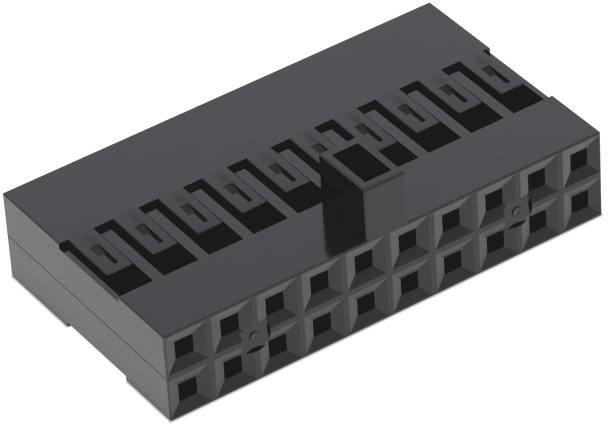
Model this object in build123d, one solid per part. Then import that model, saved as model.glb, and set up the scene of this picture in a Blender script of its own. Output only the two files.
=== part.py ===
import os

from build123d import *

# Empty crimp-terminal housing with two rows of ways and a hollow polarising key.
# X runs along the rows, the mating face looks toward -Y, the wires enter at +Y
# and the key stands up along +Z. Sizes are in millimetres.

# Grid of ways
pitch = 2.54
column_count = 10
cavity_size = 1.8

# Walls round the ways
lead_in_flare = 0.21
top_land = 0.15
end_land = 0.08
front_wall = 1.0
body_depth = 14.0

# Mating face
lead_in_depth = 0.22
pin_hole = 1.0
gate_columns_in = 2
gate_size = 1.6
gate_corner = 0.3
gate_depth = 0.15
stub_diameter = 0.55
stub_height = 0.07
stub_crest = 0.06
stub_hollow_depth = 0.05

# Wire side
mouth_flare = 0.12

# Outer edges
edge_radius = 0.075
rear_foot_radius = 0.2
parting_width = 0.07
parting_depth = 0.04

# Polarising key
key_width = 2.4
key_length = 3.7
key_height = 3.0
key_side_wall = 0.45
key_end_wall = 0.5
key_root = 0.1
key_radius = 0.12

# Openings in the top and bottom skins, one for each way
key_to_window = 0.105
window_length = 1.7
lance_length = 3.43
opening_step = 0.07
opening_shift = -0.21
opening_depth = 0.6
slot_width = 0.5
lance_gap = 0.02
hook_length = 0.63
hook_depth = 0.45
end_wall_drop = 0.32

# Lances
lance_tip_drop = 0.8
lance_tip_flat = 0.5
lance_tip_lean = 0.05
lance_root_reach = 0.5
lance_edge_radius = 0.07
lance_crest_radius = 0.15
lance_corner_radius = 0.12
lance_slope = 0.6  # degrees down toward the tip

# Relief in each lance, measured from the tip and from the column's centre:
# a level groove that runs back into a wider pad, where the floor rises to the surface
relief_start = 0.51
relief_throat = 1.45
relief_end = 2.27
relief_right = 0.29
relief_groove_left = 0.02
relief_pad_left = -0.24
relief_depth = 0.21
relief_rear_depth = 0.035

# Sizes that follow from the ones above
cavity_half = cavity_size / 2
end_wall = lead_in_flare + end_land
roof_wall = lead_in_flare + top_land
lead_in_size = cavity_size + 2 * lead_in_flare
inner_length = (column_count - 1) * pitch + cavity_size
body_length = inner_length + 2 * end_wall
body_height = pitch + cavity_size + 2 * roof_wall
front_y = -body_depth / 2
rear_y = body_depth / 2
top_z = body_height / 2
window_y = front_y + key_length + key_to_window
tip_y = window_y + window_length
root_y = tip_y + lance_length
opening_width = cavity_size + 2 * opening_step
opening_left = opening_shift - opening_width / 2
opening_right = opening_shift + opening_width / 2
lance_left = opening_left + slot_width
lance_right = opening_right - lance_gap
relief_nose = 0.45 * (relief_right - relief_groove_left)
over = 1.0


def block_between(x_span, y_span, z_span):
    """Plain block from its lowest to its highest value along each axis."""
    size = [high - low for low, high in (x_span, y_span, z_span)]
    middle = [(high + low) / 2 for low, high in (x_span, y_span, z_span)]
    return Pos(*middle) * Box(*size)


def column_centres():
    return [(index - (column_count - 1) / 2) * pitch for index in range(column_count)]


def body_block():
    """Outer block, rounded more at its lower rear edge than at its other edges."""
    block = Box(body_length, body_depth, body_height)
    rear_foot = block.edges().filter_by(Axis.X).group_by(Axis.Y)[-1].sort_by(Axis.Z)[0]
    block = fillet(rear_foot, rear_foot_radius)
    end_edges = ShapeList()
    for face in block.faces().filter_by(Axis.X):
        end_edges += face.edges()
    long_edges = block.edges().filter_by(Axis.X)
    front_edges = long_edges.group_by(Axis.Y)[0]
    rear_crest = long_edges.group_by(Axis.Z)[-1].sort_by(Axis.Y)[-1]
    return fillet(end_edges + front_edges + [rear_crest], edge_radius)


def polarising_key():
    """Key flush with the mating face, its foot let into the top skin."""
    key = block_between(
        (-key_width / 2, key_width / 2),
        (front_y, front_y + key_length),
        (top_z - key_root, top_z + key_height),
    )
    crown = key.faces().sort_by(Axis.Z)[-1]
    return fillet(crown.edges() + key.edges().filter_by(Axis.Z), key_radius)


def key_pocket():
    """Hollow of the key, open upward, down to the level of the top surface."""
    half_width = key_width / 2 - key_side_wall
    return block_between(
        (-half_width, half_width),
        (front_y + key_end_wall, front_y + key_length - key_end_wall),
        (top_z, top_z + key_height + over),
    )


def way():
    """One way: lead-in, pin hole, terminal cavity and wire mouth, about its own axis."""
    facing = Plane.XZ
    rim = facing.offset(-front_y) * Rectangle(lead_in_size, lead_in_size)
    throat = facing.offset(-front_y - lead_in_depth) * Rectangle(pin_hole, pin_hole)
    lead_in = loft([rim.face(), throat.face()])
    hole_half = pin_hole / 2
    hole = block_between(
        (-hole_half, hole_half),
        (front_y + lead_in_depth / 2, front_y + front_wall + over),
        (-hole_half, hole_half),
    )
    cavity = block_between(
        (-cavity_half, cavity_half),
        (front_y + front_wall, rear_y + over),
        (-cavity_half, cavity_half),
    )
    mouth_size = cavity_size + 2 * mouth_flare
    inner = facing.offset(-rear_y + mouth_flare) * Rectangle(cavity_size, cavity_size)
    outer = facing.offset(-rear_y) * Rectangle(mouth_size, mouth_size)
    mouth = loft([inner.face(), outer.face()])
    return lead_in + hole + cavity + mouth


def top_openings():
    """Window and slots over each way, and the cross slot behind the partition ribs."""
    inner_half = inner_length / 2
    cuts = []
    for index, centre in enumerate(column_centres()):
        left = centre + opening_left
        right = centre + opening_right
        if index == 0:
            left = -inner_half
        if index == column_count - 1:
            right = inner_half
        cuts.append(block_between((left, right), (window_y, root_y), (top_z - opening_depth, top_z + over)))
    cuts.append(
        block_between(
            (-inner_half, inner_half),
            (root_y - hook_length, root_y),
            (top_z - hook_depth, top_z + over),
        )
    )
    return cuts


def end_wall_cuts():
    """Lowered stretch of each end wall, as long as the openings."""
    drop = block_between(
        (inner_length / 2, body_length / 2 + over),
        (window_y, root_y),
        (top_z - end_wall_drop, top_z + over),
    )
    return [drop, mirror(drop, Plane.YZ)]


def lance_relief():
    """Level groove with a round nose, and behind it a wider pad whose floor rises to the rear."""
    groove = block_between(
        (relief_groove_left, relief_right),
        (tip_y + relief_start, tip_y + relief_throat),
        (top_z - relief_depth, top_z + over),
    )
    nose_edges = groove.edges().filter_by(Axis.Z).group_by(Axis.Y)[0]
    groove = fillet(nose_edges, relief_nose)
    pad_side = Plane.YZ.offset(relief_pad_left) * Polygon(
        (tip_y + relief_throat, top_z + over),
        (tip_y + relief_throat, top_z - relief_depth),
        (tip_y + relief_end, top_z - relief_rear_depth),
        (tip_y + relief_end, top_z + over),
        align=None,
    )
    return groove + extrude(pad_side, relief_right - relief_pad_left, dir=(1, 0, 0))


def sloped_bar():
    """Bar with one rounded long edge, turned about the lance's root so that it falls toward the tip."""
    bar = block_between(
        (lance_left, lance_right),
        (tip_y - over, root_y + lance_root_reach),
        (top_z - over, top_z),
    )
    long_edge = bar.edges().filter_by(Axis.Y).group_by(Axis.Z)[-1].sort_by(Axis.X)[0]
    bar = fillet(long_edge, lance_edge_radius)
    return Pos(0, root_y, top_z) * Rotation(lance_slope, 0, 0) * Pos(0, -root_y, -top_z) * bar


def lance_outline():
    """Upright column with the lance's outline seen from above, rounded at the tip's corner on the slot."""
    column = block_between(
        (lance_left, lance_right),
        (tip_y, root_y + lance_root_reach),
        (top_z - over, top_z + over),
    )
    corner_edge = column.edges().filter_by(Axis.Z).group_by(Axis.Y)[0].sort_by(Axis.X)[0]
    return fillet(corner_edge, lance_corner_radius)


def lance():
    """Spring finger rooted at its rear, its tip dropped into the way to hold a terminal."""
    side = Plane.YZ * Polygon(
        (tip_y, top_z),
        (root_y + lance_root_reach, top_z),
        (root_y + lance_root_reach, top_z - roof_wall),
        (tip_y + lance_tip_lean + lance_tip_flat, top_z - lance_tip_drop),
        (tip_y + lance_tip_lean, top_z - lance_tip_drop),
        align=None,
    )
    crest = side.vertices().group_by(Axis.Z)[-1].sort_by(Axis.Y)[0]
    side = fillet(crest, lance_crest_radius)
    finger = extrude(side, pitch, both=True) & lance_outline() & sloped_bar()
    return finger - lance_relief()


def gate_stub():
    """What is left of the gate where the runner broke off: a short stub with a hollow, rounded crest."""
    outer = stub_diameter / 2
    crest_radius = outer - stub_crest
    with BuildSketch(Plane.XY) as section:
        with BuildLine():
            hollow = Line((0, -stub_crest), (0, stub_height - stub_hollow_depth))
            dish = Line(hollow @ 1, (crest_radius, stub_height))
            crest = ThreePointArc(
                dish @ 1,
                (crest_radius + stub_crest * 0.7071, stub_height - stub_crest * 0.2929),
                (outer, stub_height - stub_crest),
            )
            flank = Line(crest @ 1, (outer, -stub_crest))
            Line(flank @ 1, hollow @ 0)
        make_face()
    stub = revolve(section.sketch, axis=Axis.Y)
    return Pos(0, front_y + gate_depth, 0) * Rotation(180, 0, 0) * stub


def gate_places():
    """Ribs between the ways where the two gates lie, the same number of columns in from each end."""
    centres = column_centres()
    left = (centres[gate_columns_in - 1] + centres[gate_columns_in]) / 2
    right = (centres[-gate_columns_in] + centres[-gate_columns_in - 1]) / 2
    return [left, right]


def gate_sink():
    """Rounded square recess that keeps the gate's stub below the mating face."""
    toward_front = Plane((0, front_y + gate_depth, 0), x_dir=(1, 0, 0), z_dir=(0, -1, 0))
    return extrude(toward_front * RectangleRounded(gate_size, gate_size, gate_corner), gate_depth + over)


def parting_grooves():
    """Fine mould line at mid-height along both end walls."""
    grooves = []
    for side in (-1, 1):
        face_x = side * body_length / 2
        notch = Plane.XZ * Polygon(
            (face_x, parting_width / 2),
            (face_x - side * parting_depth, 0),
            (face_x, -parting_width / 2),
            (face_x + side * parting_depth, 0),
            align=None,
        )
        grooves.append(extrude(notch, body_depth, both=True))
    return grooves


def housing():
    """The whole moulding, standing on its underside."""
    turned = Rotation(0, 180, 0)
    body = body_block() + polarising_key()
    one_way = way()
    ways = [Pos(centre, 0, side * pitch / 2) * one_way for centre in column_centres() for side in (-1, 1)]
    openings = top_openings() + end_wall_cuts()
    openings += [turned * cut for cut in openings]
    body -= ways
    body -= openings
    body -= [Pos(X=place) * gate_sink() for place in gate_places()]
    body -= parting_grooves()
    body -= key_pocket()
    one_lance = lance()
    lances = [Pos(X=centre) * one_lance for centre in column_centres()]
    lances += [turned * finger for finger in lances]
    body = body + lances + [Pos(X=place) * gate_stub() for place in gate_places()]
    return Pos(0, 0, body_height / 2) * body


os.makedirs("parts", exist_ok=True)
export_step(housing(), "parts/connector_housing.step")
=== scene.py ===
# Empty connector housing in satin black plastic, lying on a bright white table.
# Lengths are in metres. X runs along the rows of ways, the mating face looks toward -Y.

import bpy
from mathutils import Matrix, Vector


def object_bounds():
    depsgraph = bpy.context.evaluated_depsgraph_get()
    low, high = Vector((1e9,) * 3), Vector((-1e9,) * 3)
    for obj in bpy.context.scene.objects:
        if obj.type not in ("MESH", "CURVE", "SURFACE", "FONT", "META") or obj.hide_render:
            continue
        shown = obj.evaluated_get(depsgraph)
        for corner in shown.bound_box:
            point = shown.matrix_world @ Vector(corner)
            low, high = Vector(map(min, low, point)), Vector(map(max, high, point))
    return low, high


mm = 0.001

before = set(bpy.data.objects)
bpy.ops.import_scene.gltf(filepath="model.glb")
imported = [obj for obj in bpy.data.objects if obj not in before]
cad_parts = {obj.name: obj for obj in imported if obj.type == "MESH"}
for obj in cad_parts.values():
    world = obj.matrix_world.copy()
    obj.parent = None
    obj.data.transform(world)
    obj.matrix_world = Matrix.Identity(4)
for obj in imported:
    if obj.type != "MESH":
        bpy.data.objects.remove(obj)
cadBox = [list(corner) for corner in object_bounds()]
print("frame loaded:", sorted(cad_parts))


# Small helpers for node trees

def freshMaterial(name):
    material = bpy.data.materials.new(name)
    material.use_nodes = True
    material.node_tree.nodes.clear()
    return material


def addNode(tree, kind, place=(0, 0), **settings):
    node = tree.nodes.new(kind)
    node.location = place
    for key, value in settings.items():
        setattr(node, key, value)
    return node


def fillInput(tree, socket, value):
    # the value is another node's socket, or a constant
    if isinstance(value, bpy.types.NodeSocket):
        tree.links.new(value, socket)
    else:
        socket.default_value = value


def fillInputs(tree, node, values):
    for name, value in values.items():
        fillInput(tree, node.inputs[name], value)


def addMath(tree, operation, *values):
    # more than two values are worked through in turn
    result, others = values[0], values[1:] or (0.0,)
    for other in others:
        node = addNode(tree, "ShaderNodeMath", operation=operation)
        fillInput(tree, node.inputs[0], result)
        fillInput(tree, node.inputs[1], other)
        result = node.outputs["Value"]
    return result


def addVectorMath(tree, operation, place, *values):
    node = addNode(tree, "ShaderNodeVectorMath", place, operation=operation)
    for socket, value in zip(node.inputs, values):
        fillInput(tree, socket, value)
    return node.outputs["Value" if operation == "LENGTH" else "Vector"]


def splitVector(tree, vector, place):
    split = addNode(tree, "ShaderNodeSeparateXYZ", place)
    tree.links.new(vector, split.inputs["Vector"])
    return [split.outputs[axis] for axis in "XYZ"]


def valueRange(tree, value, start, end, place, results=(0.0, 1.0), kind="SMOOTHSTEP"):
    # goes from the first result to the second while the value goes from start to end
    change = addNode(tree, "ShaderNodeMapRange", place, interpolation_type=kind)
    fillInputs(tree, change, {
        "Value": value,
        "From Min": start,
        "From Max": end,
        "To Min": results[0],
        "To Max": results[1],
    })
    return change.outputs["Result"]


def valueRamp(tree, factor, stops, place):
    # a number that changes in straight steps between (where, value) stops
    ramp = addNode(tree, "ShaderNodeValToRGB", place)
    band = ramp.color_ramp
    band.interpolation = "LINEAR"
    while len(band.elements) < len(stops):
        band.elements.new(0.5)
    for element, (where, value) in zip(band.elements, stops):
        element.position = where
        element.color = (value, value, value, 1.0)
    tree.links.new(factor, ramp.inputs["Fac"])
    return ramp.outputs["Color"]


def blendValues(tree, factor, first, second, place):
    blend = addNode(tree, "ShaderNodeMix", place, data_type="FLOAT")
    fillInputs(tree, blend, {"Factor": factor, "A": first, "B": second})
    return blend.outputs["Result"]


# Moulded plastic of the housing

plastic = {
    "colour": (0.0028, 0.0026, 0.0029, 1.0),
    "sheenTint": (0.985, 0.945, 1.0, 1.0),
    "ior": 1.5,
    "roughness": 0.12,
    "roughnessSwing": 0.02,      # slow changes of gloss over the skin
    "cloudSize": 2.4 * mm,       # how wide those changes are
    "cloudDetail": 3.0,
    "cloudRoughness": 0.55,
    "cloudLevels": (0.3, 0.7),   # noise values at the least and the most roughness
    "grainSize": 0.05 * mm,      # spark-eroded grain of the mould
    "grainDetail": 2.0,
    "grainRoughness": 0.6,
    "grainDepth": 0.0003 * mm,
    "shine": 0.5,
}

# painted shade: the reflection is made weaker behind the lances, on the lance tips, on the key's
# rim and on the lead-ins
paintedShade = {
    "pitch": 2.54 * mm,
    "midHeight": 2.5 * mm,       # between the lower row and the upper one
    "behindLanceMiddle": (0.19 * mm, 1.18 * mm),    # from the column's middle, and along Y
    "behindLanceSpread": (0.24 * mm, 0.62 * mm),
    "behindLanceShade": 0.32,
    "lanceHalf": 0.76 * mm,
    "tipPlace": -1.50 * mm,
    "tipReach": 2.4 * mm,
    "tipShade": 0.16,
    "rimHeight": 7.9 * mm,
    "rimShade": 0.12,
    "faceDepth": -6.72 * mm,     # the lead-ins lie in front of this
    "slant": 0.2,                # least Z of a slanting facet's normal
    "sillHeight": 0.82 * mm,     # the lower row's bottom facets lie below this
    "sillShade": 0.36,
    "eaveShade": 0.50,         # painted shade on the top facets, this strong if they were at the height of the underside
    "eaveReach": 7.3 * mm,       # height at which it would be gone
}


# painted shade: a soft patch of weaker reflection behind each lance
def paintedShadeBehindLances(tree, across, y):
    square = []
    for value, middle, spread in zip((across, y), paintedShade["behindLanceMiddle"], paintedShade["behindLanceSpread"]):
        offset = addMath(tree, "DIVIDE", addMath(tree, "SUBTRACT", value, middle), spread)
        square.append(addMath(tree, "MULTIPLY", offset, offset))
    fade = addMath(tree, "MULTIPLY", addMath(tree, "ADD", *square), -1.0)
    return addMath(tree, "MULTIPLY", addMath(tree, "EXPONENT", fade), paintedShade["behindLanceShade"])


# painted shade: weaker reflection along each lance, strongest at its tip
def paintedShadeOnLanceTips(tree, across, y):
    fromTip = addMath(tree, "SUBTRACT", y, paintedShade["tipPlace"])
    fromTip = addMath(tree, "DIVIDE", fromTip, paintedShade["tipReach"])
    nearTip = addMath(tree, "SUBTRACT", 1.0, fromTip)
    behindTip = addMath(tree, "GREATER_THAN", fromTip, 0.0)
    inReach = addMath(tree, "GREATER_THAN", nearTip, 0.0)
    fromMiddle = addMath(tree, "ABSOLUTE", across)
    onLance = addMath(tree, "LESS_THAN", fromMiddle, paintedShade["lanceHalf"])
    return addMath(tree, "MULTIPLY", nearTip, paintedShade["tipShade"], onLance, behindTip, inReach)


# painted shade: weaker reflection on the lower row's bottom facets and on the top facets, more on
# the lower ones
def paintedShadeOnLeadIns(tree, y, z, tilt):
    upward = addMath(tree, "GREATER_THAN", tilt, paintedShade["slant"])
    low = addMath(tree, "LESS_THAN", z, paintedShade["sillHeight"])
    sill = addMath(tree, "MULTIPLY", upward, low, paintedShade["sillShade"])
    downward = addMath(tree, "LESS_THAN", tilt, -paintedShade["slant"])
    share = addMath(tree, "SUBTRACT", 1.0, addMath(tree, "DIVIDE", z, paintedShade["eaveReach"]))
    eave = addMath(tree, "MULTIPLY", downward, share, paintedShade["eaveShade"])
    onFace = addMath(tree, "LESS_THAN", y, paintedShade["faceDepth"])
    return addMath(tree, "MULTIPLY", addMath(tree, "ADD", sill, eave), onFace)


def shineWithPaintedShade(tree, place, normal):
    x, y, z = splitVector(tree, place, (-1600, 500))
    tilt = splitVector(tree, normal, (-1600, 250))[2]

    # distance from the column's middle, the other way round in the lower row as its lances are
    share = addMath(tree, "FRACT", addMath(tree, "DIVIDE", x, paintedShade["pitch"]))
    fromMiddle = addMath(tree, "SUBTRACT", share, 0.5)
    side = addMath(tree, "SIGN", addMath(tree, "SUBTRACT", z, paintedShade["midHeight"]))
    across = addMath(tree, "MULTIPLY", fromMiddle, paintedShade["pitch"], side)

    # painted shade on the key's rim
    onRim = addMath(tree, "GREATER_THAN", z, paintedShade["rimHeight"])
    # painted shade, added up, lowers the plastic's shine
    paintedShadeAmount = addMath(
        tree, "ADD",
        paintedShadeBehindLances(tree, across, y),
        paintedShadeOnLanceTips(tree, across, y),
        addMath(tree, "MULTIPLY", onRim, paintedShade["rimShade"]),
        paintedShadeOnLeadIns(tree, y, z, tilt),
    )
    return addMath(tree, "MULTIPLY", addMath(tree, "SUBTRACT", 1.0, paintedShadeAmount), plastic["shine"])


def mouldedPlastic():
    material = freshMaterial("satinBlackPlastic")
    tree = material.node_tree
    place = addNode(tree, "ShaderNodeTexCoord", (-1200, 0)).outputs

    clouds = addNode(tree, "ShaderNodeTexNoise", (-900, 100), noise_dimensions="3D")
    fillInputs(tree, clouds, {
        "Vector": place["Object"],
        "Scale": 1 / plastic["cloudSize"],
        "Detail": plastic["cloudDetail"],
        "Roughness": plastic["cloudRoughness"],
    })
    leastRough = plastic["roughness"] - plastic["roughnessSwing"]
    mostRough = plastic["roughness"] + plastic["roughnessSwing"]
    roughness = valueRange(tree, clouds.outputs["Fac"], *plastic["cloudLevels"], (-650, 100),
                           (leastRough, mostRough), "LINEAR")

    grain = addNode(tree, "ShaderNodeTexNoise", (-900, -200), noise_dimensions="3D")
    fillInputs(tree, grain, {
        "Vector": place["Object"],
        "Scale": 1 / plastic["grainSize"],
        "Detail": plastic["grainDetail"],
        "Roughness": plastic["grainRoughness"],
    })
    bump = addNode(tree, "ShaderNodeBump", (-400, -260))
    fillInputs(tree, bump, {
        "Strength": 1.0,
        "Distance": plastic["grainDepth"],
        "Height": grain.outputs["Fac"],
    })

    skin = addNode(tree, "ShaderNodeBsdfPrincipled", (-100, 0))
    fillInputs(tree, skin, {
        "Base Color": plastic["colour"],
        "IOR": plastic["ior"],
        "Specular Tint": plastic["sheenTint"],
        "Roughness": roughness,
        "Normal": bump.outputs["Normal"],
        # the shine carries painted shade
        "Specular IOR Level": shineWithPaintedShade(tree, place["Object"], place["Normal"]),
    })
    finish = addNode(tree, "ShaderNodeOutputMaterial", (250, 0))
    tree.links.new(skin.outputs["BSDF"], finish.inputs["Surface"])
    return material


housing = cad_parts["connector_housing"]
housing.data.materials.clear()
housing.data.materials.append(mouldedPlastic())
print("housing finished in moulded plastic")


# White table and its light

table = {
    "halfWidth": 0.6,
    "drop": 0.005 * mm,          # a hair under the housing
    "glow": 1.14,                # the table is lit from below, as product tables are
    "leftGlow": 1.25,            # it is lit more strongly to the left of the housing
    "leftEdge": -13.6 * mm,      # where that stronger light is full
    "leftFade": 1.6 * mm,
    "cornerGlow": 1.75,          # and most strongly off the housing's left front corner
    "cornerFade": 0.9 * mm,
    "farGlow": 0.42,             # share of the light that is left well beyond the picture
    "farStart": 26 * mm,
    "farEnd": 58 * mm,
    "farMiddle": (2 * mm, 2 * mm),
    "tint": (1.0, 0.985, 1.0, 1.0),
    "colour": (0.12, 0.12, 0.12, 1.0),
    "roughness": 0.9,
    "endInset": 0.35 * mm,       # the painted shadow is drawn in under the lowered stretches of the end walls, where light comes in
    "lowered": (-3.2 * mm, 1.94 * mm),   # where those are along Y
    "shadeWidth": 1.0 * mm,      # painted shadow: dark where the housing meets the table, soft painted shade beside it
    "shade": [(0.0, 0.35), (0.10, 0.82), (0.20, 0.88), (0.45, 0.95), (1.0, 1.0)],
}


def contactShade(tree, place, y):
    # painted shadow on the table's glow, by the distance from the housing's footprint
    reach = (cadBox[1][0], cadBox[1][1], 0)
    size = addVectorMath(tree, "ABSOLUTE", (-1100, -150), place)
    beyond = addVectorMath(tree, "SUBTRACT", (-900, -150), size, reach)
    afterStart = addMath(tree, "GREATER_THAN", y, table["lowered"][0])
    beforeEnd = addMath(tree, "LESS_THAN", y, table["lowered"][1])
    inset = addNode(tree, "ShaderNodeCombineXYZ", (-900, -350))
    insetDepth = addMath(tree, "MULTIPLY", afterStart, beforeEnd, table["endInset"])
    tree.links.new(insetDepth, inset.inputs["X"])
    beyond = addVectorMath(tree, "ADD", (-810, -150), beyond, inset.outputs["Vector"])
    outside = addVectorMath(tree, "MAXIMUM", (-720, -150), beyond, (0, 0, 0))
    away = addVectorMath(tree, "LENGTH", (-540, -150), outside)
    share = addMath(tree, "DIVIDE", away, table["shadeWidth"])
    return valueRamp(tree, share, table["shade"], (-360, -150))


def tableGlow(tree, place):
    x, y = splitVector(tree, place, (-1100, 200))[:2]
    side = valueRange(tree, x, table["leftEdge"], table["leftEdge"] + table["leftFade"],
                      (-900, 200), (table["leftGlow"], table["glow"]))

    left, front = cadBox[0][0], cadBox[0][1]
    offLeft = valueRange(tree, x, left, left - table["cornerFade"], (-900, 750))
    offFront = valueRange(tree, y, front, front - table["cornerFade"], (-900, 950))
    extra = addMath(tree, "MULTIPLY", offLeft, offFront, table["cornerGlow"] - table["glow"])

    offset = addVectorMath(tree, "SUBTRACT", (-900, 400), place, (*table["farMiddle"], 0))
    distance = addVectorMath(tree, "LENGTH", (-720, 400), offset)
    fall = valueRange(tree, distance, table["farStart"], table["farEnd"],
                      (-540, 400), (1.0, table["farGlow"]))
    light = addMath(tree, "ADD", side, extra)
    # the glow carries the painted shadow
    return addMath(tree, "MULTIPLY", light, fall, contactShade(tree, place, y))


def tableWhite():
    material = freshMaterial("tableWhite")
    tree = material.node_tree
    place = addNode(tree, "ShaderNodeTexCoord", (-1300, 0)).outputs["Object"]
    top = addNode(tree, "ShaderNodeBsdfPrincipled", (0, 0))
    fillInputs(tree, top, {
        "Base Color": table["colour"],
        "Roughness": table["roughness"],
        "Specular IOR Level": 0.0,
        "Emission Color": table["tint"],
        "Emission Strength": tableGlow(tree, place),
    })

    # from below the table is clear, so that the underside can be looked at
    side = addNode(tree, "ShaderNodeNewGeometry", (0, 300))
    clear = addNode(tree, "ShaderNodeBsdfTransparent", (0, -250))
    sheet = addNode(tree, "ShaderNodeMixShader", (300, 0))
    tree.links.new(side.outputs["Backfacing"], sheet.inputs[0])
    tree.links.new(top.outputs["BSDF"], sheet.inputs[1])
    tree.links.new(clear.outputs["BSDF"], sheet.inputs[2])
    finish = addNode(tree, "ShaderNodeOutputMaterial", (500, 0))
    tree.links.new(sheet.outputs["Shader"], finish.inputs["Surface"])
    return material


def glowingTable():
    mesh = bpy.data.meshes.new("table")
    half, low = table["halfWidth"], -table["drop"]
    corners = [(-half, -half, low), (half, -half, low), (half, half, low), (-half, half, low)]
    mesh.from_pydata(corners, [], [(0, 1, 2, 3)])
    mesh.materials.append(tableWhite())
    floor = bpy.data.objects.new("table", mesh)
    bpy.context.scene.collection.objects.link(floor)


glowingTable()
print("table in place")


# Studio: behind the housing and to its left it is dark low down and bright half-way up, on the
# camera's side it is dimmer, and the ceiling is bright. The stops go by height, 0 to 1.

studio = {
    "backWall": [(0.0, 0.25), (0.25, 0.35), (0.45, 1.10), (0.55, 1.40), (0.60, 1.30),
                 (0.66, 1.00), (0.73, 0.60), (0.80, 0.50), (0.86, 0.90), (0.92, 1.45),
                 (1.0, 1.45)],
    "leftWall": [(0.0, 0.25), (0.25, 0.35), (0.45, 1.10), (0.55, 1.40), (0.70, 1.25),
                 (1.0, 1.45)],
    "nearRoom": [(0.0, 0.74), (0.12, 0.74), (0.35, 1.20), (1.0, 1.45)],
    "leftTurn": (0.0, 0.25),     # the left wall changes to the back wall between these, along X
    "turn": (-0.30, 0.30),       # the near room changes to the back wall between these, along Y
    "tint": (1.0, 0.975, 1.04, 1.0),
}


def studioRoom():
    world = bpy.data.worlds.new("studioRoom")
    world.use_nodes = True
    bpy.context.scene.world = world
    tree = world.node_tree
    tree.nodes.clear()
    place = addNode(tree, "ShaderNodeTexCoord", (-1000, 0)).outputs["Generated"]
    x, y, z = splitVector(tree, place, (-800, 0))
    leftTurn = valueRange(tree, x, *studio["leftTurn"], (-600, 500))
    turn = valueRange(tree, y, *studio["turn"], (-600, 250))
    near = valueRamp(tree, z, studio["nearRoom"], (-600, 0))
    back = valueRamp(tree, z, studio["backWall"], (-600, -250))
    left = valueRamp(tree, z, studio["leftWall"], (-600, -500))
    far = blendValues(tree, leftTurn, left, back, (-350, -250))
    sky = addNode(tree, "ShaderNodeBackground", (0, 0))
    fillInputs(tree, sky, {
        "Color": studio["tint"],
        "Strength": blendValues(tree, turn, near, far, (-200, 0)),
    })
    finish = addNode(tree, "ShaderNodeOutputWorld", (200, 0))
    tree.links.new(sky.outputs["Background"], finish.inputs["Surface"])


studioRoom()

# the photograph's blacks stop short of zero
darkCurve = [(0.0, 0.0105), (0.006, 0.0108), (0.015, 0.0155), (0.03, 0.030), (1.0, 1.0)]


def liftBlacks():
    view = bpy.context.scene.view_settings
    view.view_transform = "Standard"
    view.look = "None"
    view.use_curve_mapping = True
    toe = view.curve_mapping
    toe.use_clip = False
    points = toe.curves[3].points
    points[0].location = darkCurve[0]
    points[-1].location = darkCurve[-1]
    for place in darkCurve[1:-1]:
        points.new(*place)
    for point in points:
        point.handle_type = "VECTOR"
    toe.update()


liftBlacks()
print("studio light set")


# Camera, as fitted to the photograph

shot = {
    "place": (-98.684 * mm, -154.947 * mm, 142.534 * mm),
    "right": (0.82031, -0.56955, -0.05197),
    "up": (0.38089, 0.47628, 0.79251),
    "lens": 282.195,             # in millimetres, as the sensor's width
    "sensorWidth": 36.0,
    "nearest": 10 * mm,
}


def addCamera():
    data = bpy.data.cameras.new("shot")
    data.lens = shot["lens"]
    data.sensor_width = shot["sensorWidth"]
    data.clip_start = shot["nearest"]
    camera = bpy.data.objects.new("shot", data)
    right = Vector(shot["right"]).normalized()
    up = Vector(shot["up"]).normalized()
    back = right.cross(up)
    turn = Matrix((right, up, back)).transposed()
    camera.matrix_world = Matrix.Translation(shot["place"]) @ turn.to_4x4()
    bpy.context.scene.collection.objects.link(camera)
    bpy.context.scene.camera = camera


addCamera()
print("camera placed")
